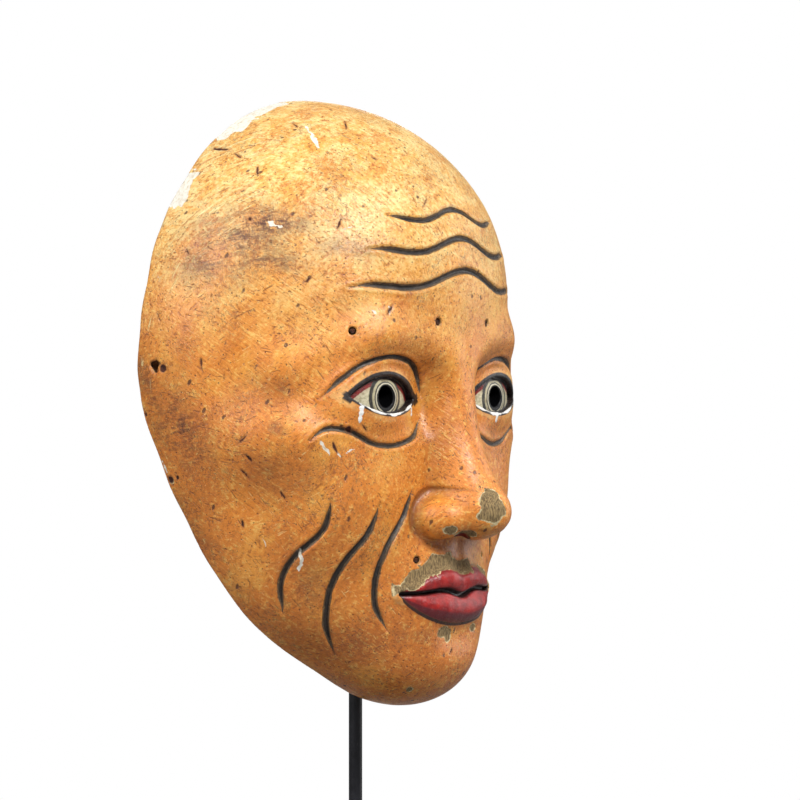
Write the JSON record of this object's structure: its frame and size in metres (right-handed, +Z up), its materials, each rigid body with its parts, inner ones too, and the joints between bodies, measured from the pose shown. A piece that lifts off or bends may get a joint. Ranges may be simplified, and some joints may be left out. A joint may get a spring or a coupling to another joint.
{
  "type": "carved wooden face mask on a display stand",
  "caption": "Carved, painted wooden face mask with pierced pupils and a hollow back, hung on the padded arms of an adjustable table stand.",
  "frame": {"origin": "centre of the stand's underside on the table, on the rod's axis", "axes": "+Z up along the rod, the mask's face looks along -Y, +X is the mask's own left"},
  "size_m": [0.156, 0.1266, 0.3404],
  "materials": {
    "painted_wood": "ochre-orange oil paint over gesso, satin, worn and chipped to bare wood; raw carved wood inside",
    "nail_iron": "rusted broken-off nail shanks",
    "black_enamel": "black satin enamel",
    "plain_steel": "turned steel",
    "pad_rubber": "soft black rubber",
    "felt": "pressed wool felt"
  },
  "bodies": {
    "stand_base": {"base_plate": "black_enamel", "base_felt": "felt", "base_bolt": "plain_steel", "socket_tube": "black_enamel"},
    "socket_screw": {"socket_screw": "plain_steel"},
    "collar": {"stop_collar": "black_enamel"},
    "collar_screw": {"collar_screw": "plain_steel"},
    "post": {"post_rod": "black_enamel", "post_clevis": "black_enamel", "tilt_bolt": "plain_steel", "tilt_washer_right": "plain_steel", "tilt_washer_left": "plain_steel"},
    "tilt_knob": {"tilt_knob": "plain_steel"},
    "head": {"head_block": "black_enamel", "cross_arm_screw": "plain_steel", "top_arm_screw": "plain_steel", "top_arm": "black_enamel", "cross_arm": "black_enamel", "top_pad": "pad_rubber", "side_pad_right": "pad_rubber", "side_pad_left": "pad_rubber"},
    "mask": {"mask_shell": "painted_wood", "brow_nail_outer_right": "nail_iron", "brow_nail_inner_right": "nail_iron", "brow_nail_inner_left": "nail_iron", "brow_nail_outer_left": "nail_iron", "lip_nail_right": "nail_iron", "lip_nail_left": "nail_iron"}
  },
  "joints": [
    {"name": "post_swivel", "type": "hinge", "parent": "stand_base", "child": "collar", "pos_m": [0, 0, 0.0788], "axis": [0, 0, 1], "continuous": true},
    {"name": "post_height", "type": "slide", "parent": "collar", "child": "post", "axis": [0, 0, 1], "range_m": [0, 0.03]},
    {"name": "head_tilt", "type": "hinge", "parent": "post", "child": "head", "pos_m": [0, 0, 0.228], "axis": [-1, 0, 0], "range_deg": [0, 25]},
    {"name": "mask_lift_off", "type": "slide", "parent": "head", "child": "mask", "axis": [0, -0.9397, 0.342], "range_m": [0, 0.12]},
    {"name": "socket_screw_turn", "type": "hinge", "parent": "stand_base", "child": "socket_screw", "pos_m": [0, 0.0075, 0.062], "axis": [0, 1, 0], "range_deg": [0, 360]},
    {"name": "collar_screw_turn", "type": "hinge", "parent": "collar", "child": "collar_screw", "pos_m": [0, 0.0075, 0.0788], "axis": [0, 1, 0], "range_deg": [0, 360]},
    {"name": "tilt_knob_turn", "type": "hinge", "parent": "post", "child": "tilt_knob", "pos_m": [0.01, 0, 0.228], "axis": [1, 0, 0], "range_deg": [0, 360]}
  ]
}
